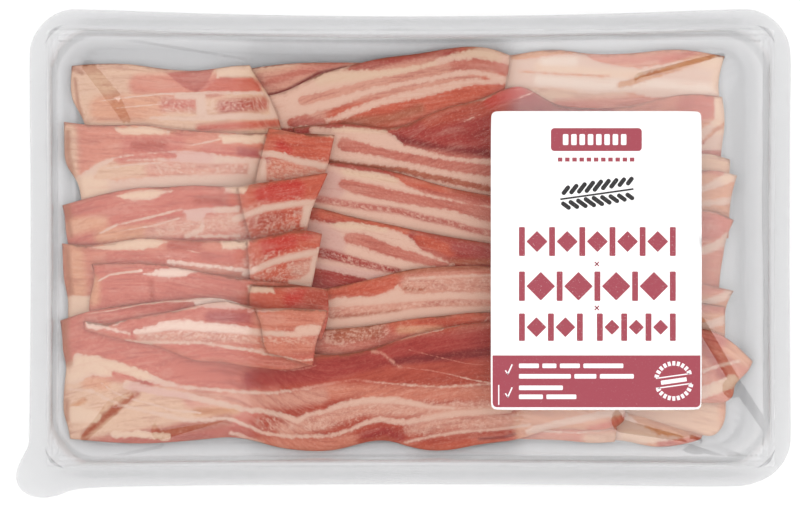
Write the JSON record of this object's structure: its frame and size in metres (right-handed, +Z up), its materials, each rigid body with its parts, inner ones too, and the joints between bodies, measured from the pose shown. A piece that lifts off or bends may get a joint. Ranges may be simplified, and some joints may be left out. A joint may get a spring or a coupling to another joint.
{
  "type": "sealed tray pack of sliced smoked pork belly",
  "caption": "Flat clear thermoformed tray with a flanged rim and a peel corner, sealed with a clear film over shingled thin slices of smoked pork belly, with a plain paper label.",
  "frame": {"origin": "on the resting plane, under the middle of the whole outline with the peel corner", "axes": "+X along the pack towards the label's end, +Y across it away from the peel corner, +Z up out of the lid"},
  "size_m": [0.2551, 0.1606, 0.0145],
  "materials": {
    "tray_plastic": "clear gloss",
    "lid_plastic": "clear gloss",
    "smoked_meat": "moist satin",
    "label_paper": "smooth matt"
  },
  "bodies": {
    "root": {"tray": "tray_plastic", "slice_back": "smoked_meat", "slice_top": "smoked_meat", "slice_right_1": "smoked_meat", "slice_right_2": "smoked_meat", "slice_right_3": "smoked_meat", "slice_right_4": "smoked_meat", "slice_right_5": "smoked_meat", "slice_right_6": "smoked_meat", "slice_right_7": "smoked_meat", "slice_end_1": "smoked_meat", "slice_end_2": "smoked_meat", "slice_end_3": "smoked_meat", "slice_left_1": "smoked_meat", "slice_left_2": "smoked_meat", "slice_left_3": "smoked_meat", "slice_left_4": "smoked_meat", "slice_left_5": "smoked_meat", "slice_front": "smoked_meat", "slice_upper": "smoked_meat", "lid_film": "lid_plastic", "label": "label_paper"}
  },
  "joints": []
}
